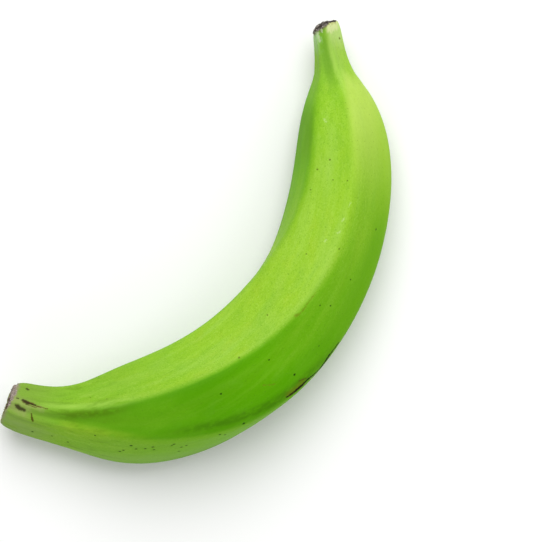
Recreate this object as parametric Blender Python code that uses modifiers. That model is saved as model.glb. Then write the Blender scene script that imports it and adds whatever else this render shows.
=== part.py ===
# A green cooking plantain, picked and laid on its side.
#
# The fruit is one closed body. Its middle line runs straight down the neck and then bends
# evenly to the stalk. Rings of points stand along that line, and each ring is a five-sided
# form with round corners, which are the ridges of the peel. The ridges turn slowly round
# the fruit as they run along it. Units are metres and degrees, +Z is up.

import math

import bpy
import bmesh
from mathutils import Matrix, Vector

NAME = "plantain"

# The middle line, from the flower's scar to the cut stalk
AXIS_LENGTH = 0.273
BEND_RATE = 143.5                # degrees turned over the whole length at the full bend
BEND_START = 0.073               # where the straight neck ends, as a share of the length
BEND_FULL = 0.263                # from here on the bend is even
START_HEADING = 229.2            # direction of the neck, which lays the fruit along X

# Rings along the fruit: distance from the scar, and width across the bend
RINGS = (
    (0.0028, 0.0112), (0.0056, 0.0123), (0.0108, 0.0128), (0.0170, 0.0139),
    (0.0225, 0.0165), (0.0275, 0.0215), (0.0325, 0.0270), (0.0385, 0.0323),
    (0.0465, 0.0374), (0.0565, 0.0410), (0.0735, 0.0443), (0.0985, 0.0461),
    (0.1235, 0.0473), (0.1485, 0.0487), (0.1705, 0.0496), (0.1895, 0.0491),
    (0.2065, 0.0472), (0.2185, 0.0437), (0.2275, 0.0389), (0.2355, 0.0331),
    (0.2435, 0.0275), (0.2515, 0.0243), (0.2590, 0.0229), (0.2655, 0.0221),
    (0.2700, 0.0208), (0.2726, 0.0182),
)
HEIGHT_RATIO = 0.96              # height over width of a ring

# Ridges: angle at the neck, angle at the stalk, and where along the fruit the turn happens.
# 0 is up, 90 is the outside of the bend, -90 the inside.
RIDGES = (
    (16.0, -14.0, 0.27, 0.72),
    (92.0, 15.0, 0.27, 0.92),
    (165.0, 100.0, 0.27, 0.92),
    (252.0, 205.0, 0.22, 0.75),
    (324.0, 275.0, 0.22, 0.75),
)
NECK_TWIST = -8.0                # all ridges turn back by this at the scar
NECK_TWIST_SPAN = 0.12
FACET_STEPS = (0.0, 0.15, 0.5, 0.85)   # points of a ring from one ridge towards the next
FACET_FLATNESS = 0.70            # 0 is a round section, 1 has flat sides and sharp ridges

# Rings taller than this touch the surface. Both ends are slimmer, and are held off it by a
# share of what they lack, so that they droop a little.
TOUCHING_HEIGHT = 0.0420
END_LIFT = 0.72
REST_DEPTH = 0.0004              # how much the weight flattens the underside

# Ends
SCAR_SLANT = 19.0                # the flower's scar leans towards the inside of the bend
SCAR_SLANT_LENGTH = 0.009        # over this length the rings straighten up again
SCAR_RINGS = ((0.84, -0.0014), (0.46, -0.0023))   # scale of the rim, and depth inward
STALK_SLANT = 1.0                # the stalk is cut nearly square
STALK_SLANT_LENGTH = 0.010
STALK_TILT = 7.0                 # and its face looks up a little
STALK_RINGS = ((0.86, -0.0010), (0.72, -0.0002), (0.40, 0.0000))

SUBDIVISION = 1
PEEL_COLOUR = (0.31, 0.61, 0.05, 1.0)
PEEL_ROUGHNESS = 0.42


def smooth_step(value, start, end):
    """Rise from 0 at start to 1 at end, level at both."""
    t = min(max((value - start) / (end - start), 0.0), 1.0)
    return t * t * (3.0 - 2.0 * t)


def heading_at(share):
    """Direction of the middle line in the XY plane, in degrees."""
    span = BEND_FULL - BEND_START
    t = min(max((share - BEND_START) / span, 0.0), 1.0)
    ramp = span * (t ** 3 - 0.5 * t ** 4)
    even = max(share - BEND_FULL, 0.0)
    return START_HEADING - BEND_RATE * (ramp + even)


def middle_line(distance, steps=400):
    """Point of the middle line in the XY plane, by adding up short steps."""
    point = Vector((0.0, 0.0, 0.0))
    step = distance / steps
    for index in range(steps):
        angle = math.radians(heading_at((index + 0.5) * step / AXIS_LENGTH))
        point += step * Vector((math.cos(angle), math.sin(angle), 0.0))
    return point


def lift_of(height):
    """How far the underside of a ring stands off the surface."""
    return END_LIFT * max(TOUCHING_HEIGHT - height, 0.0) / 2.0


def ridge_angles(share):
    twist = NECK_TWIST * (1.0 - smooth_step(share, 0.0, NECK_TWIST_SPAN))
    return [twist + neck + (stalk - neck) * smooth_step(share, start, end)
            for neck, stalk, start, end in RIDGES]


def section(share):
    """Points of a ring of radius about 1: (across the bend, up)."""
    angles = ridge_angles(share)
    points = []
    for index, ridge in enumerate(angles):
        following = angles[index + 1] if index + 1 < len(angles) else angles[0] + 360.0
        half = math.radians(following - ridge) / 2.0
        for step in FACET_STEPS:
            turned = half * 2.0 * step
            chord = math.cos(half) / math.cos(turned - half)
            radius = 1.0 - FACET_FLATNESS * (1.0 - chord)
            angle = math.radians(ridge) + turned
            points.append(Vector((radius * math.sin(angle), radius * math.cos(angle))))
    return points


def fitted(points, width, height):
    """Scale a ring so that its subdivided form fills width and height, about its middle."""
    count = len(points)
    smooth = [(points[i - 1] + 4.0 * points[i] + points[(i + 1) % count]) / 6.0
              for i in range(count)]
    low = Vector([min(p[axis] for p in smooth) for axis in (0, 1)])
    high = Vector([max(p[axis] for p in smooth) for axis in (0, 1)])
    middle = (low + high) / 2.0
    return [Vector(((p.x - middle.x) * width / (high.x - low.x),
                    (p.y - middle.y) * height / (high.y - low.y))) for p in points]


def slants_at(distance):
    """How much a ring leans sideways and upwards, as tangents: both ends are cut aslant."""
    scar = 1.0 - smooth_step(distance, 0.0, SCAR_SLANT_LENGTH)
    stalk = smooth_step(distance, AXIS_LENGTH - STALK_SLANT_LENGTH, AXIS_LENGTH)
    sideways = (scar * math.tan(math.radians(SCAR_SLANT))
                + stalk * math.tan(math.radians(STALK_SLANT)))
    return sideways, stalk * math.tan(math.radians(STALK_TILT))


def ring_points(distance, width, scale=1.0, inward=0.0):
    """Points of one ring in space. inward moves it along the fruit."""
    share = distance / AXIS_LENGTH
    height = width * HEIGHT_RATIO
    centre = middle_line(distance)
    centre.z = lift_of(height) + height / 2.0 - REST_DEPTH
    angle = math.radians(heading_at(share))
    along = Vector((math.cos(angle), math.sin(angle), 0.0))
    outward = Vector((-math.sin(angle), math.cos(angle), 0.0))
    lean, tilt = slants_at(distance)
    points = []
    for across, up in fitted(section(share), width, height):
        shift = inward - across * scale * lean - up * scale * tilt
        points.append(centre + outward * across * scale
                      + Vector((0.0, 0.0, up * scale)) + along * shift)
    return points


def build_cage():
    """Coarse cage of the fruit: rings joined by quads, and both ends closed."""
    mesh = bmesh.new()
    rings = []
    first, first_width = RINGS[0]
    last, last_width = RINGS[-1]
    for scale, depth in reversed(SCAR_RINGS):
        rings.append(ring_points(first, first_width, scale, depth))
    for distance, width in RINGS:
        rings.append(ring_points(distance, width))
    for scale, depth in STALK_RINGS:
        rings.append(ring_points(last, last_width, scale, depth))
    rows = [[mesh.verts.new(point) for point in ring] for ring in rings]
    count = len(rows[0])
    for row, following in zip(rows, rows[1:]):
        for i in range(count):
            j = (i + 1) % count
            mesh.faces.new((row[i], row[j], following[j], following[i]))
    mesh.faces.new(rows[0])
    mesh.faces.new(rows[-1])
    bmesh.ops.recalc_face_normals(mesh, faces=mesh.faces)
    return mesh


def peel_material():
    material = bpy.data.materials.new("plantain_peel")
    material.use_nodes = True
    shader = material.node_tree.nodes["Principled BSDF"]
    shader.inputs["Base Color"].default_value = PEEL_COLOUR
    shader.inputs["Roughness"].default_value = PEEL_ROUGHNESS
    shader.inputs["Metallic"].default_value = 0.0
    return material


def surface_cutter(collection):
    """Slab below the resting plane, which takes off what the weight flattens."""
    bpy.ops.mesh.primitive_cube_add(size=1.0, location=(0.0, 0.0, -0.05))
    cutter = bpy.context.object
    cutter.name = "resting_plane"
    cutter.scale = (0.6, 0.6, 0.1)
    cutter.display_type = "WIRE"
    cutter.hide_render = True
    for owner in list(cutter.users_collection):
        owner.objects.unlink(cutter)
    collection.objects.link(cutter)
    return cutter


def bounds_middle(thing):
    """Middle of an evaluated object's box in XY."""
    bpy.context.view_layer.update()
    evaluated = thing.evaluated_get(bpy.context.evaluated_depsgraph_get())
    corners = [vertex.co for vertex in evaluated.data.vertices]
    middle = [(min(c[axis] for c in corners) + max(c[axis] for c in corners)) / 2.0
              for axis in (0, 1)]
    return Vector((middle[0], middle[1], 0.0))


def build_plantain():
    parts = bpy.data.collections.new("plantain_parts")
    cutters = bpy.data.collections.new("cutters")
    bpy.context.scene.collection.children.link(parts)
    bpy.context.scene.collection.children.link(cutters)

    cage = build_cage()
    data = bpy.data.meshes.new(NAME)
    cage.to_mesh(data)
    cage.free()
    data.shade_smooth()
    data.materials.append(peel_material())
    fruit = bpy.data.objects.new(NAME, data)
    parts.objects.link(fruit)

    subdivision = fruit.modifiers.new("soft_form", "SUBSURF")
    subdivision.levels = SUBDIVISION
    subdivision.render_levels = SUBDIVISION
    data.transform(Matrix.Translation(-bounds_middle(fruit)))

    flat = fruit.modifiers.new("flat_spot", "BOOLEAN")
    flat.operation = "DIFFERENCE"
    flat.solver = "EXACT"
    flat.object = surface_cutter(cutters)
    return fruit


def main():
    for thing in list(bpy.data.objects):
        bpy.data.objects.remove(thing, do_unlink=True)
    build_plantain()


main()
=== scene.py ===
import math
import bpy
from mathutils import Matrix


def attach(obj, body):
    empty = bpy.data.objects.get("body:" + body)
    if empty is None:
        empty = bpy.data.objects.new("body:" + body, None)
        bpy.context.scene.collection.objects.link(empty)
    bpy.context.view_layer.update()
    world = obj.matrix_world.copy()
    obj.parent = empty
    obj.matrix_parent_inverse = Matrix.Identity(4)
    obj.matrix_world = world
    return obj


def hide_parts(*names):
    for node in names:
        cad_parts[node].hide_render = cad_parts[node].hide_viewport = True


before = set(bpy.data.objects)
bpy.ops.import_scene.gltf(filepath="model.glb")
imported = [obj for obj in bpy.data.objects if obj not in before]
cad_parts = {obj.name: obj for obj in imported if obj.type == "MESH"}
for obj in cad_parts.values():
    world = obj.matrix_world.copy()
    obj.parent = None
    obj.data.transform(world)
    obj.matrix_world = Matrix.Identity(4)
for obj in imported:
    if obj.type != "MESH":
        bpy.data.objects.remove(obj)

from types import SimpleNamespace

import bmesh
import bpy
import numpy as np
from mathutils import Vector, noise

scene = bpy.context.scene
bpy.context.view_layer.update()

# The whole form, as the solid has it, in metres and degrees. Angles run round the fruit:
# 0 is up, 90 is the outside of the bend and -90 the inside. Shares are of the whole length.
fruit = {
    "axisLength": 0.273,              # middle line, from the flower's scar to the cut
    "bendRate": 143.5,                # turned over the whole length at the full bend
    "bendStart": 0.073,               # share where the straight neck ends
    "bendFull": 0.263,                # share from which the bend is even
    "startHeading": 229.2,            # direction of the neck
    "rings": (                        # distance from the flower's scar, width
        (0.0028, 0.0112), (0.0056, 0.0123), (0.0108, 0.0128), (0.0170, 0.0139),
        (0.0225, 0.0165), (0.0275, 0.0215), (0.0325, 0.0270), (0.0385, 0.0323),
        (0.0465, 0.0374), (0.0565, 0.0410), (0.0735, 0.0443), (0.0985, 0.0461),
        (0.1235, 0.0473), (0.1485, 0.0487), (0.1705, 0.0496), (0.1895, 0.0491),
        (0.2065, 0.0472), (0.2185, 0.0437), (0.2275, 0.0389), (0.2355, 0.0331),
        (0.2435, 0.0275), (0.2515, 0.0243), (0.2590, 0.0229), (0.2655, 0.0221),
        (0.2700, 0.0208), (0.2726, 0.0182),
    ),
    "heightRatio": 0.96,              # height of a ring over its width
    "ridges": (                       # at the neck, at the stalk, shares where it turns
        (16.0, -14.0, 0.27, 0.72),    # the top ridge
        (92.0, 15.0, 0.27, 0.92),     # the outer ridge
        (165.0, 100.0, 0.27, 0.92),
        (252.0, 205.0, 0.22, 0.75),
        (324.0, 275.0, 0.22, 0.75),   # the inner ridge
    ),
    "neckTwist": -8.0,                # all ridges turn back by this at the scar
    "neckTwistSpan": 0.12,            # over this share
    "facetSteps": (0.0, 0.15, 0.5, 0.85),   # points of a ring from one ridge to the next
    "facetFlatness": 0.70,            # 0 is a round section, 1 has flat sides
    "touchingHeight": 0.0420,         # lower rings than this stand off the surface
    "endLift": 0.72,                  # by this much of what they lack
    "restDepth": 0.0004,              # how much the weight flattens the underside
    "scarSlant": 19.0,                # the scar faces a little to the inside of the bend
    "scarSlantLength": 0.009,         # over this length the rings straighten up again
    "scarRings": ((0.84, -0.0014), (0.46, -0.0023)),   # share of the width, shift
    "stalkSlant": 1.0,                # the stalk is cut nearly square
    "stalkSlantLength": 0.010,
    "stalkTilt": 7.0,                 # the cut looks up a little
    "stalkRings": ((0.86, -0.0010), (0.72, -0.0002), (0.40, 0.0)),
    "subdivision": 3,
}
# Its five sides, from the top ridge round by the outside of the bend
sideNames = ("topOuter", "lowOuter", "under", "inner", "topInner")


def smoothStep(value, start, end):
    # from 0 at the start to 1 at the end, and level at both
    t = np.clip((value - start) / (end - start), 0.0, 1.0)
    return t * t * (3.0 - 2.0 * t)


def headingAt(distance):
    # direction of the middle line: straight along the neck, then bending up to the full rate
    share = distance / fruit["axisLength"]
    span = fruit["bendFull"] - fruit["bendStart"]
    t = np.clip((share - fruit["bendStart"]) / span, 0.0, 1.0)
    ramp = span * (t ** 3 - 0.5 * t ** 4)
    even = np.maximum(share - fruit["bendFull"], 0.0)
    return np.radians(fruit["startHeading"] - fruit["bendRate"] * (ramp + even))


def middleLine(distance, steps=400):
    step = distance / steps
    angle = headingAt((np.arange(steps) + 0.5) * step)
    return np.array([np.cos(angle).sum() * step, np.sin(angle).sum() * step])


def middleHeight(width):
    height = width * fruit["heightRatio"]
    lift = fruit["endLift"] * np.maximum(fruit["touchingHeight"] - height, 0.0) / 2.0
    return lift + height / 2.0 - fruit["restDepth"]


def widthAt(distance):
    distances, widths = np.array(fruit["rings"]).T
    return np.interp(distance, distances, widths)


def section(distance):
    # one ring of points, from the top ridge round by the outside of the bend
    share = distance / fruit["axisLength"]
    twist = fruit["neckTwist"] * (1.0 - smoothStep(share, 0.0, fruit["neckTwistSpan"]))
    angles = [twist + neck + (stalk - neck) * smoothStep(share, start, end)
              for neck, stalk, start, end in fruit["ridges"]]
    angles.append(angles[0] + 360.0)
    points = []
    for ridge, following in zip(angles, angles[1:]):
        half = math.radians(following - ridge) / 2.0
        for step in fruit["facetSteps"]:
            turned = half * 2.0 * step
            chord = math.cos(half) / math.cos(turned - half)
            radius = 1.0 - fruit["facetFlatness"] * (1.0 - chord)
            angle = math.radians(ridge) + turned
            points.append((radius * math.sin(angle), radius * math.cos(angle)))
    return np.array(points)


def fittedSection(distance, width):
    # the subdivided surface runs inside the points of its cage, and is what has the width
    points = section(distance)
    smooth = (np.roll(points, 1, axis=0) + 4.0 * points + np.roll(points, -1, axis=0)) / 6.0
    low, high = smooth.min(axis=0), smooth.max(axis=0)
    size = np.array([width, width * fruit["heightRatio"]])
    return (points - (low + high) / 2.0) * size / (high - low)


def ringPoints(distance, width, scale=1.0, shift=0.0):
    # a ring in its place, across the middle line and slanted near both ends
    angle = headingAt(distance)
    centre = np.array([*middleLine(distance), middleHeight(width)])
    along = np.array([math.cos(angle), math.sin(angle), 0.0])
    outward = np.array([-math.sin(angle), math.cos(angle), 0.0])
    length = fruit["axisLength"]
    scar = 1.0 - smoothStep(distance, 0.0, fruit["scarSlantLength"])
    stalk = smoothStep(distance, length - fruit["stalkSlantLength"], length)
    lean = (scar * math.tan(math.radians(fruit["scarSlant"]))
            + stalk * math.tan(math.radians(fruit["stalkSlant"])))
    tilt = stalk * math.tan(math.radians(fruit["stalkTilt"]))
    return [centre + outward * across + np.array([0.0, 0.0, up])
            + along * (shift - across * lean - up * tilt)
            for across, up in fittedSection(distance, width) * scale]


def cageMesh():
    first, last = fruit["rings"][0], fruit["rings"][-1]
    rings = [ringPoints(*first, scale, shift) for scale, shift in reversed(fruit["scarRings"])]
    rings += [ringPoints(distance, width) for distance, width in fruit["rings"]]
    rings += [ringPoints(*last, scale, shift) for scale, shift in fruit["stalkRings"]]
    mesh = bmesh.new()
    rows = [[mesh.verts.new(point) for point in ring] for ring in rings]
    count = len(rows[0])
    for row, following in zip(rows, rows[1:]):
        for i in range(count):
            j = (i + 1) % count
            mesh.faces.new((row[i], row[j], following[j], following[i]))
    mesh.faces.new(rows[0])
    mesh.faces.new(rows[-1])
    bmesh.ops.recalc_face_normals(mesh, faces=mesh.faces)
    data = bpy.data.meshes.new("cage")
    mesh.to_mesh(data)
    mesh.free()
    return data


def fineMesh():
    cage = bpy.data.objects.new("cage", cageMesh())
    scene.collection.objects.link(cage)
    cage.modifiers.new("softForm", "SUBSURF").levels = fruit["subdivision"]
    evaluated = cage.evaluated_get(bpy.context.evaluated_depsgraph_get())
    data = bpy.data.meshes.new_from_object(evaluated)
    bpy.data.objects.remove(cage)
    data.name = "peel"
    return data


def readVectors(items, name):
    values = np.empty(len(items) * 3)
    items.foreach_get(name, values)
    return values.reshape(-1, 3)


def unbentPlaces(points, before=0.004, beyond=0.006, samples=800, steps=200, chunk=4000):
    # across the bend, up, and along the middle line, as if the fruit were straight
    distances = np.linspace(-before, fruit["axisLength"] + beyond, samples)
    line = np.array([middleLine(distance, steps) for distance in distances])
    places = np.empty_like(points)
    for start in range(0, len(points), chunk):
        rows = slice(start, start + chunk)
        part = points[rows, :2]
        gaps = ((part[:, None, :] - line[None, :, :]) ** 2).sum(axis=2)
        nearest = gaps.argmin(axis=1)
        heading = headingAt(distances[nearest])
        off = part - line[nearest]
        forward = off[:, 0] * np.cos(heading) + off[:, 1] * np.sin(heading)
        places[rows, 2] = distances[nearest] + forward
        places[rows, 0] = off[:, 1] * np.cos(heading) - off[:, 0] * np.sin(heading)
    places[:, 1] = points[:, 2] - middleHeight(widthAt(places[:, 2]))
    return places


def ridgeAngles(along):
    # the angle of every ridge at each point, and the first one's again after a full turn
    crests = []
    for distance, width in fruit["rings"]:
        ring = fittedSection(distance, width)[::len(fruit["facetSteps"])]
        crests.append(np.degrees(np.unwrap(np.arctan2(ring[:, 0], ring[:, 1]))))
    crests = np.degrees(np.unwrap(np.radians(np.array(crests)), axis=0))
    distances = [distance for distance, _ in fruit["rings"]]
    ridges = np.stack([np.interp(along, distances, crest) for crest in crests.T], axis=1)
    return np.concatenate([ridges, ridges[:, :1] + 360.0], axis=1)


def facetPlaces(places):
    # the angle of a point, the side of the fruit that it is on, how far across that side it
    # is, from 0 to 1, its distance from the nearest ridge, and how far it lies past the top
    # ridge and past the outer one
    ridges = ridgeAngles(places[:, 2])
    angle = np.degrees(np.arctan2(places[:, 0], places[:, 1]))
    angle = ridges[:, 0] + (angle - ridges[:, 0]) % 360.0
    side = (angle[:, None] >= ridges[:, :-1]).sum(axis=1) - 1
    side = np.clip(side, 0, len(sideNames) - 1)
    rows = np.arange(len(side))
    start, end = ridges[rows, side], ridges[rows, side + 1]
    share = (angle - start) / (end - start)
    radius = np.hypot(places[:, 0], places[:, 1])
    toRidge = np.radians(np.minimum(angle - start, end - angle)) * radius
    past = (angle[:, None] - ridges[:, :2] + 180.0) % 360.0 - 180.0
    return angle, side, share, toRidge, np.radians(past) * radius[:, None]


# The dried ends, in metres: each reaches over the peel, and furthest on one side. The rims
# are torn, so they wander, and the change from dry to green is blended.
rims = {
    "scar": {"reach": -0.0004, "further": 0.0012, "side": -70.0, "torn": 0.0007},
    "cut": {"reach": 0.0004, "further": 0.0026, "side": -62.0, "torn": 0.0009},
    "sideShape": 1.5,                 # higher keeps that reach closer to its side
    "scarInset": 0.0005,
    "scarLean": 0.77,                 # how much of the scar's slant its rim follows
    "tearing": ((1.4, 1.4, 1.4), 2.2, 3),   # noise, as in reliefNoise
    "blend": 0.0003,
}


def rimReach(angle, rim):
    facing = np.maximum(np.cos(np.radians(angle - rim["side"])), 0.0)
    return rim["reach"] + rim["further"] * facing ** rims["sideShape"]


def endPlaces(places):
    # distance from the rims of the flower's scar and of the stalk's cut
    angle = np.degrees(np.arctan2(places[:, 0], places[:, 1]))
    lean = math.tan(math.radians(fruit["scarSlant"])) * rims["scarLean"]
    scarRim = fruit["rings"][0][0] - rims["scarInset"] - places[:, 0] * lean
    tilt = math.tan(math.radians(fruit["stalkTilt"]))
    cutRim = fruit["rings"][-1][0] - places[:, 1] * tilt
    return (places[:, 2] - scarRim - rimReach(angle, rims["scar"]),
            cutRim - rimReach(angle, rims["cut"]) - places[:, 2])


# Relief of the peel, in metres: what is cut into the fruit's form, or stands out from it.
# Starts and ends are places along the fruit, between which the change is blended.
relief = {
    "undulation": 0.00014,
    "hollow": 0.00015,                # sides sink a little beside each ridge
    "hollowSpan": (0.002, 0.0085),    # distances from the ridge
    "crestOff": 0.00018,              # and the ridges themselves are rounded
    "crestWidth": 0.0026,
    "crestNeckLess": 0.6,             # of it less on the neck
    "crestStalkMore": 0.8,            # and more on the stalk
    "outerCrestOff": 0.00032,         # most of all the outer ridge, beside the stalk
    "outerCrestWidth": 0.0036,
    "outerCrestStarts": (0.205, 0.245),
    "neckEnds": (0.016, 0.036),
    "neckFlute": 0.00050,             # grooves between the ridges of the neck and the stalk
    "neckFull": 0.00030,              # which are fuller than the form between the grooves
    "shoulderEnds": (0.028, 0.050),
    "stalkStarts": (0.232, 0.252),
    "stalkFlute": 0.00050,
    "stalkFull": 0.00038,
    "cutLess": 0.7,                   # of it less at the cut
    "fluteShape": 1.5,                # higher makes the grooves narrower
    "wrinkle": 0.00016,
    "bodyWrinkle": 0.15,              # of it between the neck and the stalk
    "crust": 0.00045,
    "scarDome": 0.00070,              # the dried scar bulges towards the inside of the bend
    "scarDomeSpan": (-0.003, 0.002),
    "cutSink": 0.0010,
    "cutSinkEnds": (0.0050, 0.0088),  # distances from the middle of the cut
    "cutFibre": 0.00045,
    "wear": 0.0010,                   # off the cut's edge
    "wearSide": -75.0,
    "wearStarts": (0.2655, 0.2745),
    "wearRadius": 0.009,
}
# Noise that the relief follows: the size of a patch across, up and along the fruit in
# millimetres, where in the noise it starts and how many ever finer layers it has, and then
# its middle, its contrast and its highest value
reliefNoise = {
    "undulation": ((16.0, 16.0, 30.0), 3.7, 3, 0.5, 0.6, 1.0),
    "wrinkle": ((1.5, 1.5, 22.0), 9.1, 3, 0.5, 1.0, 1.2),
    "crust": ((1.1, 1.1, 1.1), 5.3, 4, 0.5, 0.9, 1.3),
    "fibre": ((0.9, 0.9, 3.0), 7.9, 4, 0.6, 0.9, 1.5),
}


def noiseAt(places, patch, start, layers, fading=0.9, finer=2.1):
    scaled = places * 1000.0 / np.array(patch) + start
    return np.array([noise.fractal(Vector(place), fading, finer, layers) for place in scaled])


def reliefAt(places, name):
    *pattern, middle, contrast, highest = reliefNoise[name]
    return np.clip(middle + contrast * noiseAt(places, *pattern), 0.0, highest)


def placesOnPeel(points):
    # where each point lies, and its shares, from 0 to 1, of the dried ends, neck and stalk
    places = unbentPlaces(points)
    along = places[:, 2]
    angle, side, share, toRidge, past = facetPlaces(places)
    fromScar, fromCut = endPlaces(places)
    torn = noiseAt(places, *rims["tearing"])
    blend = -rims["blend"], rims["blend"]
    return SimpleNamespace(
        unbent=places, along=along, radius=np.hypot(places[:, 0], places[:, 1]),
        angle=angle, side=side, share=share, toRidge=toRidge, past=past,
        fromScar=fromScar, fromCut=fromCut,
        scar=smoothStep(-fromScar + rims["scar"]["torn"] * torn, *blend),
        cut=smoothStep(-fromCut + rims["cut"]["torn"] * torn, *blend),
        neck=1.0 - smoothStep(along, *relief["neckEnds"]),
        stalk=smoothStep(along, *relief["stalkStarts"]),
    )


def carveGreenPeel(at):
    # how deep the green peel is cut; what stands out counts as less than nothing
    depth = relief["undulation"] * reliefAt(at.unbent, "undulation")
    body = (1.0 - at.neck) * (1.0 - at.stalk)
    depth += body * relief["hollow"] * smoothStep(at.toRidge, *relief["hollowSpan"])
    rounding = np.exp(-(at.toRidge / relief["crestWidth"]) ** 2)
    rounding *= relief["crestOff"]
    rounding *= 1.0 - relief["crestNeckLess"] * at.neck
    depth += rounding * (1.0 + relief["crestStalkMore"] * at.stalk)
    rounding = np.exp(-(at.past[:, 1] / relief["outerCrestWidth"]) ** 2)
    depth += relief["outerCrestOff"] * rounding * smoothStep(at.along, *relief["outerCrestStarts"])
    flute = relief["neckFlute"] * at.neck + relief["stalkFlute"] * at.stalk
    between = np.sin(math.pi * at.share) ** relief["fluteShape"]
    depth += flute * between * (1.0 - at.scar) * (1.0 - at.cut)
    full = relief["neckFull"] * (1.0 - smoothStep(at.along, *relief["shoulderEnds"]))
    full += relief["stalkFull"] * at.stalk * (1.0 - relief["cutLess"] * at.cut)
    depth -= full
    wrinkled = relief["bodyWrinkle"] + at.neck + at.stalk
    depth += relief["wrinkle"] * wrinkled * reliefAt(at.unbent, "wrinkle")
    return depth


def carveDriedEnds(at, depth):
    # adds the crust and the dome of the scar, and the sunk middle and torn fibres of the cut
    depth += relief["crust"] * at.scar * reliefAt(at.unbent, "crust")
    depth -= relief["scarDome"] * at.scar * smoothStep(-at.unbent[:, 0], *relief["scarDomeSpan"])
    middle = 1.0 - smoothStep(at.radius, *relief["cutSinkEnds"])
    depth += at.cut * (relief["cutSink"] * middle
                       + relief["cutFibre"] * reliefAt(at.unbent, "fibre"))


def wearCut(at, points):
    # the cut's edge is worn round on the inside of the bend
    heading = headingAt(at.along)
    worn = relief["wear"] * np.maximum(np.cos(np.radians(at.angle - relief["wearSide"])), 0.0)
    nearEdge = np.minimum(at.radius / relief["wearRadius"], 1.0)
    worn *= smoothStep(at.along, *relief["wearStarts"]) * nearEdge
    points[:, 0] += worn * np.sin(heading) * at.unbent[:, 0] / at.radius
    points[:, 1] -= worn * np.cos(heading) * at.unbent[:, 0] / at.radius
    points[:, 2] -= worn * at.unbent[:, 1] / at.radius


def carvePeel(data):
    points = readVectors(data.vertices, "co")
    at = placesOnPeel(points)
    depth = carveGreenPeel(at)
    carveDriedEnds(at, depth)
    points -= readVectors(data.vertices, "normal") * depth[:, None]
    wearCut(at, points)
    middleOfBox = (points.max(axis=0) + points.min(axis=0)) / 2.0
    points[:, :2] -= middleOfBox[:2]
    points[:, 2] = np.maximum(points[:, 2], 0.0)      # the flat spot that it rests on
    data.vertices.foreach_set("co", points.ravel())
    data.update()
    data.shade_smooth()
    return at


# How green each side of the fruit is along its length: 0 is the pale green of the side that lies
# upward, 1 the deep green of the flanks.
# This is partly the peel's own tone and partly painted light and shade: sides turned to the lamp are
# painted paler, those turned from it deeper.
# Places and widths are in millimetres.
sideTonesAndShading = {
    "places": (15, 38, 60, 110, 160, 215, 262),
    "topOuter": (0.16, 0.14, 0.36, 0.72, 1.00, 1.00, 0.75),
    "lowOuter": (0.30, 0.40, 0.60, 0.70, 0.76, 0.66, 0.46),
    "under": (0.40, 0.45, 0.50, 0.60, 0.60, 0.55, 0.50),
    "inner": (0.50, 0.88, 0.86, 0.30, 0.70, 0.50, 0.35),
    "topInner": (0.60, 0.34, 0.14, 0.10, 0.22, 0.44, 0.60),
    "blend": (4.0, 4.0, 4.0, 2.9, 1.7, 1.9, 3.6),      # half width of the change at a ridge
    "overTop": (0.0, 0.0, 0.0, 0.2, 1.8, 2.5, 1.0),    # how far it lies past the top ridge
}


# the side tone at each point: the peel's own tone with painted light and shade in it
def sideToneAndShadingAt(along, side, share, toRidge):
    values = np.stack([np.interp(along, sideTonesAndShading["places"], sideTonesAndShading[name]) for name in sideNames])
    blend = np.interp(along, sideTonesAndShading["places"], sideTonesAndShading["blend"])
    over = np.interp(along, sideTonesAndShading["places"], sideTonesAndShading["overTop"])
    outer, inner = sideNames.index("topOuter"), sideNames.index("topInner")
    after = share > 0.5
    beside = np.where(after, side + 1, side - 1) % len(sideNames)
    inside = toRidge + over * (side == outer) * ~after - over * (side == inner) * after
    own = smoothStep(inside / blend, -1.0, 1.0)
    rows = np.arange(len(side))
    return own * values[side, rows] + (1.0 - own) * values[beside, rows]


# Painted shade in the groove along the stalk's outer side, and the outside of the bend painted greyer
# low down, partly for waxy bloom and partly as a painted reflection of the white floor, in metres
shades = {
    "grooveStarts": (0.205, 0.245),
    "grooveFromRidge": (0.0003, 0.0022),
    "grooveFades": (0.3, 0.8),        # shares of the side's width
    "greyAcross": (0.010, 0.019),
    "greyStarts": (0.150, 0.235),
    "greyLow": (-0.014, 0.0),
}

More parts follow.
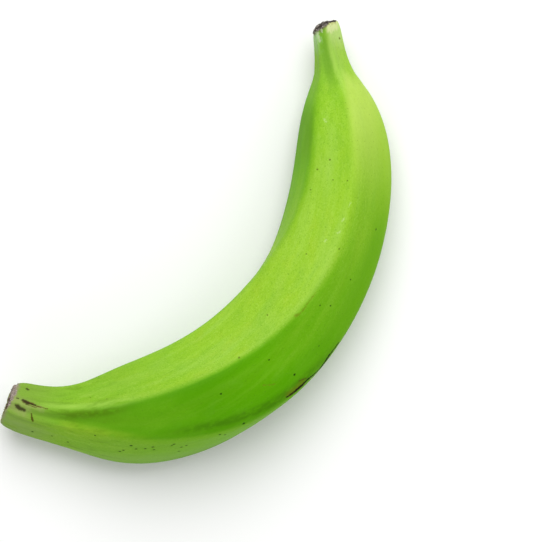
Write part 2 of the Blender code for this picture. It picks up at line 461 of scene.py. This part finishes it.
# Bands that run beside the top ridge and beside the outer one: painted shade beside the ridges, in the
# neck's groove and on the lower flank, and pale crests that are partly the ridges' own paler colour and
# partly a painted highlight.
# Each has rows of a place along the fruit, then the band's middle past the ridge, its half width and
# its strength.
bands = {
    "topBands": {
        # the top ridge's pale crest: partly its own paler colour, partly a painted highlight
        "crest": (
            (4, -1.2, 1.2, 0.25), (14, -1.0, 1.2, 0.50), (24, -0.8, 1.2, 0.50),
            (38, -0.4, 1.0, 0.16), (60, 0.0, 0.8, 0.14), (100, 0.0, 0.7, 0.14),
            (170, -1.6, 1.2, 0.08), (205, -3.0, 2.2, 0.28), (225, -2.7, 2.4, 0.48),
            (252, -2.1, 2.0, 0.42), (264, -1.0, 1.4, 0.0),
        ),
        "neckShade": (
            (2, -3.9, 2.4, 0.75), (20, -3.9, 2.5, 1.0), (30, -4.6, 2.8, 0.35),
            (40, -4.6, 3.0, 0.0),
        ),
        "topShade": (
            (105, 1.6, 1.8, 0.0), (140, 1.2, 2.2, 0.7), (180, -0.2, 2.8, 1.0),
            (205, -0.4, 2.6, 0.9), (222, 0.9, 1.9, 0.8), (238, 1.3, 2.0, 1.0),
            (250, 1.8, 1.8, 0.6), (260, 2.0, 1.5, 0.0),
        ),
    },
    "lowBands": {
        "lowShade": (
            (125, -3.0, 2.0, 0.0), (148, -3.4, 2.2, 0.8), (160, -3.4, 2.2, 1.0),
            (175, -4.2, 2.0, 1.0), (192, -4.0, 2.2, 0.75), (212, -3.0, 1.8, 0.0),
        ),
        # painted shade: the lower part of the outer side deeper
        "lowFlankShade": (
            (62, -8.0, 7.0, 0.0), (92, -6.5, 7.5, 0.85), (150, -6.0, 6.0, 1.0),
            (185, -5.0, 4.0, 0.5), (202, -4.0, 3.0, 0.0),
        ),
        # the outer ridge's pale crest by the stalk: partly its own colour, partly a painted highlight
        "lowCrestAndHighlight": (
            (202, -1.0, 1.8, 0.0), (222, -1.2, 2.4, 0.7), (240, -0.9, 2.6, 1.0),
            (256, -0.5, 2.4, 0.8), (266, 0.0, 2.0, 0.0),
        ),
    },
}


def bandAt(along, past, rows):
    places, *values = zip(*rows)
    middle, width, strength = [np.interp(along, places, value) for value in values]
    return strength * np.exp(-((past - middle) / width) ** 2)


def columns(*values):
    # a map on the mesh holds three values for each point, so a missing one is 0
    blanks = [np.zeros_like(values[0])] * (3 - len(values))
    return np.stack([*values, *blanks], axis=1)


def peelMaps(at):
    # what the colours of the peel follow, in millimetres or from 0 to 1
    along = at.along * 1000.0
    # side tones, partly painted light and shade
    green = sideToneAndShadingAt(along, at.side, at.share, at.toRidge * 1000.0)
    # the outside of the bend greyer low down: waxy bloom and a painted reflection of the white floor
    bloomAndReflection = smoothStep(at.unbent[:, 0], *shades["greyAcross"])
    bloomAndReflection *= smoothStep(at.along, *shades["greyStarts"])
    bloomAndReflection *= smoothStep(-at.unbent[:, 1], *shades["greyLow"])
    # painted shade in the groove along the stalk's outer side
    grooveShade = (at.side == sideNames.index("topOuter")) * smoothStep(at.along, *shades["grooveStarts"])
    grooveShade *= 1.0 - smoothStep(at.share, *shades["grooveFades"])
    grooveShade *= smoothStep(at.toRidge, *shades["grooveFromRidge"])
    maps = {
        "unbent": at.unbent * 1000.0,
        "tones": columns(green, bloomAndReflection, grooveShade),
        "edges": columns(at.fromScar * 1000.0, at.fromCut * 1000.0),
    }
    for ridge, (name, group) in enumerate(bands.items()):
        past = at.past[:, ridge] * 1000.0
        maps[name] = columns(*[bandAt(along, past, rows) for rows in group.values()])
    return maps


def roundPlaces(places):
    # distance along the fruit and round it, in millimetres, for the markings
    radius = widthAt(places[:, 2]) / 2.0
    angle = np.arctan2(places[:, 0], places[:, 1])
    return columns(places[:, 2] * 1000.0, angle * radius * 1000.0)


def store(data, name, values, domain="POINT"):
    attribute = data.attributes.new(name, "FLOAT_VECTOR", domain)
    attribute.data.foreach_set("vector", values.ravel())


def storeRoundPlaces(data, chart, seamGap=20.0):
    # kept for each face corner, so that faces on the seam below the fruit aren't smeared
    vertices = np.empty(len(data.loops), dtype=int)
    data.loops.foreach_get("vertex_index", vertices)
    corners = chart[vertices]
    for face in data.polygons:
        span = slice(face.loop_start, face.loop_start + face.loop_total)
        turn = corners[span, 1]
        if turn.max() - turn.min() > seamGap:
            corners[span, 1] = np.where(turn < 0.0, turn + 2.0 * turn.max(), turn)
    store(data, "chart", corners, "CORNER")


def linear(colour):
    # an sRGB hex value as the linear colour that a shader takes
    parts = [int(colour[i:i + 2], 16) / 255.0 for i in (1, 3, 5)]
    parts = [c / 12.92 if c <= 0.04045 else ((c + 0.055) / 1.055) ** 2.4 for c in parts]
    return (*parts, 1.0)


def newMaterial(name):
    material = bpy.data.materials.new(name)
    material.use_nodes = True
    return material, material.node_tree, material.node_tree.nodes["Principled BSDF"]


def addNode(tree, kind, inputs=None, output=0, **settings):
    # an input is a value, or another node's output to link
    node = tree.nodes.new(kind)
    for name, value in settings.items():
        setattr(node, name, value)
    for name, value in (inputs or {}).items():
        if isinstance(value, bpy.types.NodeSocket):
            tree.links.new(value, node.inputs[name])
        else:
            node.inputs[name].default_value = value
    return node.outputs[output]


# Markings on the peel. A stroke runs from one place to another and ends with its half
# width; a dot has one place. A place is millimetres along the fruit and degrees round it.
# "soft" has the shares of the half width at which the edge has faded out and is full, and
# "ragged" the size and the amount, in millimetres, of the noise that shakes the outline.
markings = {
    "scuffs": {
        "colour": "#74761C", "strength": 0.52, "soft": (2.0, -0.3), "ragged": (0.8, 1.8),
        "strokes": (
            (119.5, 5, 126.5, 3, 0.20), (132.0, 0.5, 130.8, 2, 0.62), (130.5, 2.5, 126.5, 4, 0.26),
            (156.5, 57, 150.0, 61, 1.30), (161.5, 29, 157.5, 38, 0.26),
        ),
    },
    "nicks": {
        "colour": "#4C4612", "strength": 0.9, "soft": (1.4, 0.3), "ragged": (0.5, 0.7),
        "strokes": ((259.6, 3, 259.0, 11, 0.34), (259.0, 11, 258.4, 20, 0.55)),
    },
    "paleScratches": {
        "colour": "#CFE59A", "strength": 0.34, "soft": (1.7, 0.0), "ragged": (0.5, 1.9),
        "strokes": (
            (79.5, 9, 81.0, 8, 0.30), (86.5, 5, 87.6, 3, 0.36), (92.0, 4, 93.0, 2, 0.40),
            (97.0, -8, 98.0, -9, 0.34), (147.0, 67, 139.0, 73, 0.22), (43.2, -26, 44.4, -24, 0.50),
        ),
    },
    "barkFlakes": {
        "colour": "#B6C49C", "strength": 0.60, "soft": (1.8, 0.0), "ragged": (0.9, 1.8),
        "strokes": (
            (4.6, -46, 8.6, -38, 0.50), (4.0, -62, 7.0, -55, 0.50), (3.8, -28, 4.8, -24, 0.30),
        ),
    },
    "pinpricks": {
        "colour": "#5A6A1A", "strength": 0.80, "soft": (1.5, 0.3), "ragged": (0.5, 0.5),
        "strokes": (
            (61.5, -19, 0.50), (66, -33, 0.46), (70.5, -14, 0.34), (70.5, 3, 0.34),
            (76, -38, 0.36), (99, 9, 0.40), (106, -24, 0.36), (162, -12, 0.50),
            (139.5, -26, 0.46), (234, -40, 0.34), (226, -30, 0.30), (8.5, 66, 0.55),
        ),
    },
    "dots": {
        "colour": "#1F3D06", "strength": 0.95, "soft": (1.4, 0.3), "ragged": (0.5, 0.5),
        "strokes": (
            (223, 57, 0.62), (221.5, 52, 0.58), (218, 38, 0.70), (216.5, 47, 0.60),
            (213, 47, 0.60), (210, 44, 0.66), (210, 52, 0.60), (202, 44, 0.66),
            (200, 57, 0.62), (203, 47, 0.54), (198, 55, 0.60), (201.5, 70, 0.62),
            (185, 50, 0.58), (183.5, 56, 0.56), (175.5, 50, 0.62), (87.5, 63, 0.50),
            (108.5, 43, 0.38), (153, 11, 0.40), (150, 47, 0.56), (177, 9, 0.48),
            (258, 66, 0.62), (250, 61, 0.52), (243.5, 68, 0.55), (121, 32, 0.38),
            (123, 18, 0.36), (153.5, 70, 0.44), (136, 50, 0.32), (232, 24, 0.38),
        ),
    },
    "driedPatch": {
        "colour": "#A2A46C", "strength": 0.48, "soft": (2.8, -1.2), "ragged": (1.8, 3.5),
        "strokes": (
            (269.0, -22, 262.0, -12, 2.3), (268.0, 0, 263.0, 6, 1.7), (261.0, -14, 255.0, -12, 1.1),
        ),
    },
    "tears": {
        "colour": "#56401C", "strength": 0.85, "soft": (1.6, 0.1), "ragged": (0.5, 0.9),
        "strokes": (
            (264.2, -21, 260.0, -20, 0.75), (260.5, -18, 256.0, -16, 0.40),
            (256.0, -16, 253.0, -14.5, 0.20), (263.0, -15, 258.0, -13, 0.20),
            (150.5, 56, 147.8, 61, 0.22), (156.5, 59, 150.0, 63, 0.60),
        ),
    },
    "bruises": {
        "colour": "#352D1B", "strength": 0.90, "soft": (1.7, 0.0), "ragged": (0.7, 1.3),
        "strokes": (
            (266.9, -6.5, 263.0, -0.5, 0.80), (266.1, -3, 264.6, -1, 0.90), (266.5, -6, 265.5, -4, 1.0),
            (264.9, -24.5, 263.6, -23, 0.66), (263.5, -22, 262.3, -19.5, 1.00),
            (262.0, -20, 258.5, -18, 0.36), (267.6, -27, 267.0, -26, 0.46),
            (265.0, -66, 264.0, -64, 0.58),
        ),
    },
    "rubbedRidge": {
        "colour": "#1C1A0E", "strength": 0.95, "soft": (1.4, 0.3), "ragged": (0.5, 1.1),
        "strokes": (
            (157.6, 58, 153.5, 61, 0.36), (153.5, 61, 148.0, 64, 0.60), (148.0, 64, 142.0, 71, 0.52),
            (142.0, 71, 136.5, 70, 0.78), (136.5, 70, 131.0, 73, 0.44), (156.0, 61, 150.0, 65, 0.26),
        ),
    },
}


def chartPlace(along, degrees):
    radius = float(widthAt(along / 1000.0)) * 500.0   # in millimetres
    return Vector((along, math.radians(degrees) * radius, 0.0))


def markingMask(tree, chart, strokes, soft):
    # 1 inside the strokes and 0 away from them
    mask = 0.0
    for stroke in strokes:
        start = chartPlace(*stroke[:2])
        run = chartPlace(*stroke[2:4]) - start if len(stroke) == 5 else Vector()
        off = addNode(tree, "ShaderNodeVectorMath", {0: chart, 1: start}, operation="SUBTRACT")
        if run.length > 0.0:
            way = run.normalized()
            reach = addNode(tree, "ShaderNodeVectorMath", {0: off, 1: way}, "Value",
                            operation="DOT_PRODUCT")
            reach = addNode(tree, "ShaderNodeClamp", {"Value": reach, "Max": run.length})
            passed = addNode(tree, "ShaderNodeVectorMath", {0: way, "Scale": reach},
                             operation="SCALE")
            off = addNode(tree, "ShaderNodeVectorMath", {0: off, 1: passed},
                          operation="SUBTRACT")
        gap = addNode(tree, "ShaderNodeVectorMath", {0: off}, "Value", operation="LENGTH")
        inside = addNode(tree, "ShaderNodeMapRange",
                         {"Value": gap, "From Min": stroke[-1] * soft[0],
                          "From Max": stroke[-1] * soft[1]}, interpolation_type="SMOOTHSTEP")
        mask = addNode(tree, "ShaderNodeMath", {0: mask, 1: inside}, operation="MAXIMUM")
    return mask


def addPatterns(tree, place, patterns, detail=3.5, roughness=0.57):
    # noise for each pattern, stretched to its size across, up and along the fruit
    found = {}
    for name, size in patterns.items():
        scaled = addNode(tree, "ShaderNodeVectorMath",
                         {0: place, 1: [1.0 / step for step in size]}, operation="MULTIPLY")
        found[name] = addNode(tree, "ShaderNodeTexNoise",
                              {"Vector": scaled, "Scale": 1.0, "Detail": detail,
                               "Roughness": roughness})
    return found


def addShares(tree, start, follows, shares):
    # start, with each pattern on top of it as many times as its share
    for name, share in shares:
        start = addNode(tree, "ShaderNodeMath", {0: follows[name], 1: share, 2: start},
                        operation="MULTIPLY_ADD")
    return start


def addLayers(tree, colour, follows, layers):
    # a layer shows where everything that it follows has gone from the first value to the
    # second, and mixes in its colour by its strength
    for conditions, strength, brought in layers:
        mask = strength
        for name, start, end in conditions:
            step = addNode(tree, "ShaderNodeMapRange",
                           {"Value": follows[name], "From Min": start, "From Max": end},
                           interpolation_type="SMOOTHSTEP")
            mask = addNode(tree, "ShaderNodeMath", {0: mask, 1: step}, operation="MULTIPLY")
        colour = addNode(tree, "ShaderNodeMix", {0: mask, 6: colour, 7: linear(brought)}, 2,
                         data_type="RGBA")
    return colour


def addSurface(tree, shader, colour, follows, finish):
    height = addShares(tree, 0.0, follows, finish["height"])
    bump = addNode(tree, "ShaderNodeBump", {"Height": height, "Strength": finish["bumpStrength"],
                                            "Distance": finish["bumpDepth"]})
    tree.links.new(colour, shader.inputs["Base Color"])
    tree.links.new(bump, shader.inputs["Normal"])
    shader.inputs["IOR"].default_value = finish["refraction"]
    shader.inputs["Specular IOR Level"].default_value = finish["shine"]


# The peel's skin, in millimetres
peel = {
    # the two ends of the side tones: partly the peel's own colour, partly painted light (pale) and
    # painted shade (deep)
    "pale": "#99C733",
    "deep": "#5EA603",
    "patterns": {                     # size of a patch across, up and along the fruit
        "cloud": (14.0, 14.0, 34.0),  # slow changes of tone
        "haze": (8.0, 8.0, 15.0),
        "streak": (2.6, 2.6, 42.0),   # fibres that show through
        "stripe": (7.5, 7.5, 80.0),
        "fringe": (1.8, 1.8, 5.0),    # ragged borders beside the scar
        "mottle": (1.6, 1.6, 3.2),
        "grain": (0.45, 0.45, 0.8),   # pores, drawn several times coarser so that they show
    },
    "maps": {                         # what each map on the mesh holds
        "unbent": ("across", "up", "straight"),
        "tones": ("green", "bloomAndReflection", "stalkGrooveShade"),
        "edges": ("fromScar", "fromCut"),
        "topBands": tuple(bands["topBands"]),
        "lowBands": tuple(bands["lowBands"]),
    },
    "wander": (                       # name, what is shifted, by which pattern, how much
        ("along", "straight", "cloud", 9.0),
        ("green", "green", "cloud", 0.40),
        ("green", "green", "streak", 0.12),
        ("cream", "fromScar", "fringe", 7.0),
        ("fromScar", "fromScar", "mottle", 4.5),
        ("fromCut", "fromCut", "mottle", 3.0),
        ("outward", "across", "fringe", 7.0),
    ),
    "layers": (                       # what each follows, from and to; strength; colour
        # the whole skin: lighter and darker patches, streaks and pores
        ((("cloud", 0.48, 0.70), ("green", 0.75, 0.25)), 0.20, "#A8CC60"),
        ((("haze", 0.50, 0.72), ("green", 0.75, 0.25)), 0.22, "#A9C22A"),
        ((("haze", 0.46, 0.30),), 0.18, "#74B236"),
        ((("stripe", 0.46, 0.70), ("green", 0.70, 0.20)), 0.18, "#B2D874"),
        ((("stripe", 0.50, 0.28), ("along", 22.0, 44.0)), 0.16, "#7FA81E"),
        ((("streak", 0.42, 0.70),), 0.08, "#B4DF4C"),
        ((("streak", 0.54, 0.30),), 0.09, "#5E9E0C"),
        ((("mottle", 0.52, 0.72), ("green", 1.1, 0.1)), 0.12, "#BCE25E"),
        ((("mottle", 0.48, 0.28),), 0.15, "#5F9A14"),
        ((("grain", 0.52, 0.70), ("green", 1.3, 0.2)), 0.20, "#BFE070"),
        ((("grain", 0.48, 0.30),), 0.32, "#528C0E"),
        # tones of the shoulder, the sides and the outside of the bend, with painted sheen, painted
        # reflection and painted shade among them
        # the outside of the bend greyer: waxy bloom and a painted reflection of the white floor
        ((("bloomAndReflection", 0.0, 1.0),), 0.36, "#8DB45C"),
        ((("along", 172.0, 228.0),), 0.16, "#7C9E34"),
        # the shoulder paler and yellower: partly waxy bloom, partly a painted sheen
        ((("along", 19.0, 31.0), ("along", 84.0, 44.0), ("across", 1.0, 5.5)), 0.48, "#C6DC68"),
        ((("along", 38.0, 58.0), ("along", 108.0, 76.0), ("green", 0.7, 0.3)), 0.16, "#84B418"),
        ((("along", 30.0, 42.0), ("along", 70.0, 50.0), ("green", 0.6, 0.9)), 0.34, "#5A8608"),
        ((("across", 12.0, 19.0), ("along", 150.0, 90.0)), 0.40, "#8FC416"),
        # painted shade: the deep flank, turned from the lamp, deeper towards the stalk
        ((("along", 150.0, 185.0), ("along", 245.0, 215.0), ("green", 0.75, 1.0)), 0.40, "#3E8200"),
        # beside the outer ridge, below it and on its crest: painted shade, and a crest that is partly a
        # painted highlight
        # painted shade: the lower part of the outer side deeper
        ((("lowFlankShade", 0.0, 1.0),), 0.50, "#489400"),
        ((("lowShade", 0.0, 1.0), ("mottle", 0.16, 0.60)), 0.66, "#3A6A08"),
        # painted shade: darker towards the underside
        ((("up", 2.0, -11.0),), 0.42, "#407204"),
        # the outer ridge's pale crest: partly its own colour, partly a painted highlight
        ((("lowCrestAndHighlight", 0.0, 1.0), ("haze", 0.30, 0.56)), 0.48, "#9ABC32"),
        # the top ridge and the grooves towards the stalk, with painted shade in the groove and beside
        # the ridge
        # painted shade in the stalk's groove
        ((("stalkGrooveShade", 0.0, 1.0),), 0.55, "#4C8010"),
        ((("topShade", 0.0, 1.0),), 0.24, "#3E8200"),
        # towards the stalk the painted shade beside the top ridge is mottled olive, partly a real stain
        ((("topShade", 0.0, 1.0), ("along", 208.0, 228.0), ("mottle", 0.22, 0.56)), 0.62, "#4C6A0C"),
        ((("along", 212.0, 236.0), ("streak", 0.48, 0.34)), 0.34, "#567E10"),
        ((("along", 212.0, 236.0), ("streak", 0.54, 0.70), ("green", 1.0, 0.5)), 0.26, "#A2C650"),
        # the neck, with painted shade in its groove
        ((("along", 36.0, 20.0), ("streak", 0.48, 0.34)), 0.14, "#5C8C1C"),
        ((("along", 36.0, 14.0), ("across", 4.0, -1.0)), 0.26, "#88A854"),
        ((("neckShade", 0.0, 1.0),), 0.46, "#4F8416"),
        ((("along", 26.0, 14.0), ("across", -1.0, 2.5)), 0.30, "#A6C468"),
        ((("along", 15.0, 5.0), ("across", -1.0, 1.5)), 0.34, "#D0E0A0"),
        ((("along", 15.0, 6.0), ("outward", -3.0, -5.4)), 0.65, "#A8CC94"),
        # the cream patch beside the scar, and the scar's brown border
        ((("cream", 4.6, 2.8), ("across", -1.0, 0.6), ("across", 6.0, 4.4)), 0.72, "#D2D89E"),
        ((("fromScar", 1.4, 0.2), ("across", -1.5, 0.5)), 0.50, "#9A9450"),
        ((("fromScar", 1.3, -0.2), ("across", 2.5, -0.5)), 0.80, "#6B5A4E"),
        # the stalk, the ridges' pale crests, partly a painted highlight, and the cut's brown border
        ((("along", 238.0, 267.0),), 0.60, "#7C9840"),
        ((("along", 244.0, 266.0), ("across", 1.0, 7.0), ("haze", 0.30, 0.60)), 0.24, "#98B078"),
        # the top ridge's pale crest: partly its own colour, partly a painted highlight
        ((("crest", 0.0, 1.0), ("streak", 0.20, 0.50)), 0.80, "#B0D662"),
        ((("fromCut", 1.7, -0.4),), 0.75, "#948A72"),
        # specks, in less than half of the cells that could hold one
        ((("speck", 0.085, 0.03), ("chance", 0.56, 0.62)), 0.42, "#4A7018"),
    ),
    "speckSpacing": 3.4,
    "height": (("streak", 0.5), ("mottle", 0.3), ("grain", 0.3), ("marked", -0.35)),
    "bumpStrength": 0.35,
    "bumpDepth": 0.0004,              # in metres
    "roughness": 0.42,
    "rougher": (("mottle", 0.10), ("marked", 0.25)),   # what makes it rougher, and how much
    "refraction": 1.45,
    "shine": 0.035,
}


def addMarkings(tree, colour, place, chart):
    # each group of markings on top of the last, and one mask of them all
    marked = 0.0
    for marking in markings.values():
        size, amount = marking["ragged"]
        noises = addNode(tree, "ShaderNodeTexNoise",
                         {"Vector": place, "Scale": 1.0 / size, "Detail": 3.0}, "Color")
        noises = addNode(tree, "ShaderNodeVectorMath", {0: noises, 1: (0.5, 0.5, 0.5)},
                         operation="SUBTRACT")
        shaken = addNode(tree, "ShaderNodeVectorMath",
                         {0: noises, 1: (amount, amount, 0.0), 2: chart},
                         operation="MULTIPLY_ADD")
        mask = markingMask(tree, shaken, marking["strokes"], marking["soft"])
        layer = (("mask", 0.0, 1.0),), marking["strength"], marking["colour"]
        colour = addLayers(tree, colour, {"mask": mask}, [layer])
        marked = addNode(tree, "ShaderNodeMath", {0: marked, 1: mask}, operation="MAXIMUM")
    return colour, marked


def peelFollows(tree, place, chart):
    # everything that a layer of the peel can follow
    follows = addPatterns(tree, place, peel["patterns"])
    for name, axes in peel["maps"].items():
        held = addNode(tree, "ShaderNodeAttribute", {}, "Vector", attribute_name=name)
        split = addNode(tree, "ShaderNodeSeparateXYZ", {0: held}).node
        follows.update(zip(axes, split.outputs))
    for name, shifted, pattern, amount in peel["wander"]:
        centred = addNode(tree, "ShaderNodeMath", {0: follows[pattern], 1: 0.5},
                          operation="SUBTRACT")
        follows[name] = addNode(tree, "ShaderNodeMath",
                                {0: centred, 1: amount, 2: follows[shifted]},
                                operation="MULTIPLY_ADD")
    specks = addNode(tree, "ShaderNodeTexVoronoi",
                     {"Vector": chart, "Scale": 1.0 / peel["speckSpacing"]},
                     voronoi_dimensions="2D", feature="F1").node
    follows["speck"] = specks.outputs["Distance"]
    follows["chance"] = addNode(tree, "ShaderNodeSeparateXYZ", {0: specks.outputs["Color"]})
    return follows


def waxyPeel():
    # green plantain peel: smooth and a little waxy, with only a faint real shine; its soft, wide sheen
    # is mostly a painted sheen in the colour
    material, tree, shader = newMaterial("waxyGreenPeel")
    place = addNode(tree, "ShaderNodeAttribute", {}, "Vector", attribute_name="unbent")
    chart = addNode(tree, "ShaderNodeAttribute", {}, "Vector", attribute_name="chart")
    follows = peelFollows(tree, place, chart)
    # the side tones, partly painted light and shade
    green = addNode(tree, "ShaderNodeClamp", {"Value": follows["green"]})
    colour = addNode(tree, "ShaderNodeMix", {0: green, 6: linear(peel["pale"]),
                                             7: linear(peel["deep"])}, 2, data_type="RGBA")
    colour = addLayers(tree, colour, follows, peel["layers"])
    colour, follows["marked"] = addMarkings(tree, colour, place, chart)
    rough = addShares(tree, peel["roughness"], follows, peel["rougher"])
    tree.links.new(rough, shader.inputs["Roughness"])
    addSurface(tree, shader, colour, follows, peel)
    return material


# The two dried ends. Patterns have the size of a patch in millimetres, and the fibres of
# the cut are drawn about twice as coarse as they are, so that they show.
flowerScar = {
    "colour": "#37302B",
    "patterns": {"patch": (1.6, 1.6, 1.6), "fleck": (0.9, 0.9, 0.9)},
    "layers": (
        ((("patch", 0.47, 0.62),), 0.80, "#77726A"),
        ((("patch", 0.45, 0.34),), 0.85, "#1A1210"),
        ((("fleck", 0.54, 0.64), ("across", 1.0, -2.0)), 0.75, "#B9AFA6"),
    ),
    "height": (("patch", 0.8), ("fleck", 0.8)),
    "bumpDepth": 0.0006,              # in metres
}
stalkCut = {
    "colour": "#93867A",
    "patterns": {"patch": (2.2, 2.2, 2.2), "fibre": (0.5, 0.5, 1.4)},
    "layers": (
        ((("fromMiddle", 8.2, 4.5),), 0.80, "#54382E"),
        ((("fromMiddle", 8.6, 10.2),), 0.75, "#B0A598"),
        ((("fibre", 0.53, 0.66),), 0.60, "#CDC3B6"),
        ((("fibre", 0.46, 0.34),), 0.60, "#3A2A22"),
    ),
    "height": (("patch", 0.8), ("fibre", 0.8)),
    "bumpDepth": 0.0008,
}
dried = {"bumpStrength": 0.8, "roughness": 0.85, "refraction": 1.45, "shine": 0.2}


def driedEnd(name, finish):
    material, tree, shader = newMaterial(name)
    place = addNode(tree, "ShaderNodeAttribute", {}, "Vector", attribute_name="unbent")
    follows = addPatterns(tree, place, finish["patterns"])
    follows["across"] = addNode(tree, "ShaderNodeSeparateXYZ", {0: place})
    flat = addNode(tree, "ShaderNodeVectorMath", {0: place, 1: (1.0, 1.0, 0.0)},
                   operation="MULTIPLY")
    follows["fromMiddle"] = addNode(tree, "ShaderNodeVectorMath", {0: flat}, "Value",
                                    operation="LENGTH")
    colour = addLayers(tree, linear(finish["colour"]), follows, finish["layers"])
    shader.inputs["Roughness"].default_value = dried["roughness"]
    addSurface(tree, shader, colour, follows, {**dried, **finish})
    return material


def driedScar():
    # where the flower fell off: corky dry tissue, dull, so it swallows the light
    return driedEnd("driedFlowerScar", flowerScar)


def driedCut():
    # the stalk's cut: torn fibres that browned as the sap dried, rough and without shine
    return driedEnd("driedStalkCut", stalkCut)


def makePlantain():
    print("plantain: fine mesh")
    data = fineMesh()
    print("plantain: relief and what the colours follow")
    at = carvePeel(data)
    for name, values in peelMaps(at).items():
        store(data, name, values)
    storeRoundPlaces(data, roundPlaces(at.unbent))
    print("plantain: green skin and dried ends")
    for material in (waxyPeel(), driedScar(), driedCut()):
        data.materials.append(material)
    for face in data.polygons:
        corners = list(face.vertices)
        if at.scar[corners].mean() > 0.5:
            face.material_index = 1
        elif at.cut[corners].mean() > 0.5:
            face.material_index = 2
    plantain = bpy.data.objects.new("plantainPeel", data)
    scene.collection.objects.link(plantain)
    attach(plantain, "root")
    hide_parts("plantain")


makePlantain()

# The camera looks straight down. The right and the top of its picture are the studio's two
# directions: a lamp stands "along" the first and "across" to the second, in metres.
studio = {
    "floor": 6.0,                     # width
    "floorColour": "#FAFAFA",
    "floorRoughness": 0.9,
    "cameraHeight": 1.05,
    "cameraLens": 154.8,              # millimetres
    "cameraRoll": 49.9,
    "cameraRight": 0.0147,
    "cameraUpward": 0.0061,
    "worldStrength": 0.50,
    "key": {"along": 0.02, "across": 0.70, "height": 1.10, "size": 1.20, "energy": 13.0},
    "fill": {"along": 0.70, "across": 0.10, "height": 0.90, "size": 0.60, "energy": 1.0},
    "low": {"along": -0.10, "across": -0.95, "height": 0.45, "size": 0.60, "energy": 1.2},
}
roll = math.radians(studio["cameraRoll"])
right = Vector((math.cos(roll), -math.sin(roll), 0.0))
upward = Vector((math.sin(roll), math.cos(roll), 0.0))


def inStudio(along, across, height):
    return right * along + upward * across + Vector((0.0, 0.0, height))


def layFloor():
    bpy.ops.mesh.primitive_plane_add(size=studio["floor"])
    floor = bpy.context.object
    floor.name = "paleFloor"
    # matt white board: it takes only a soft shadow and throws light back up
    material, _, shader = newMaterial("whiteBoard")
    shader.inputs["Base Color"].default_value = linear(studio["floorColour"])
    shader.inputs["Roughness"].default_value = studio["floorRoughness"]
    floor.data.materials.append(material)


def setCamera():
    camera = bpy.data.objects.new("camera", bpy.data.cameras.new("camera"))
    camera.data.lens = studio["cameraLens"]
    camera.location = inStudio(studio["cameraRight"], studio["cameraUpward"],
                               studio["cameraHeight"])
    camera.rotation_euler = (0.0, 0.0, -roll)
    scene.collection.objects.link(camera)
    scene.camera = camera


def setLights():
    # a white sky, and disks of light that all point at the fruit
    world = bpy.data.worlds.new("studio")
    scene.world = world
    world.use_nodes = True
    sky = world.node_tree.nodes["Background"]
    sky.inputs["Color"].default_value = (1.0, 1.0, 1.0, 1.0)
    sky.inputs["Strength"].default_value = studio["worldStrength"]
    for name in ("key", "fill", "low"):
        lamp = studio[name]
        light = bpy.data.lights.new(name, "AREA")
        light.shape = "DISK"
        light.size = lamp["size"]
        light.energy = lamp["energy"]
        holder = bpy.data.objects.new(name, light)
        holder.location = inStudio(lamp["along"], lamp["across"], lamp["height"])
        holder.rotation_euler = (-holder.location).to_track_quat("-Z", "Y").to_euler()
        scene.collection.objects.link(holder)


print("studio: floor, camera and lights")
layFloor()
setCamera()
setLights()
scene.view_settings.view_transform = "Standard"
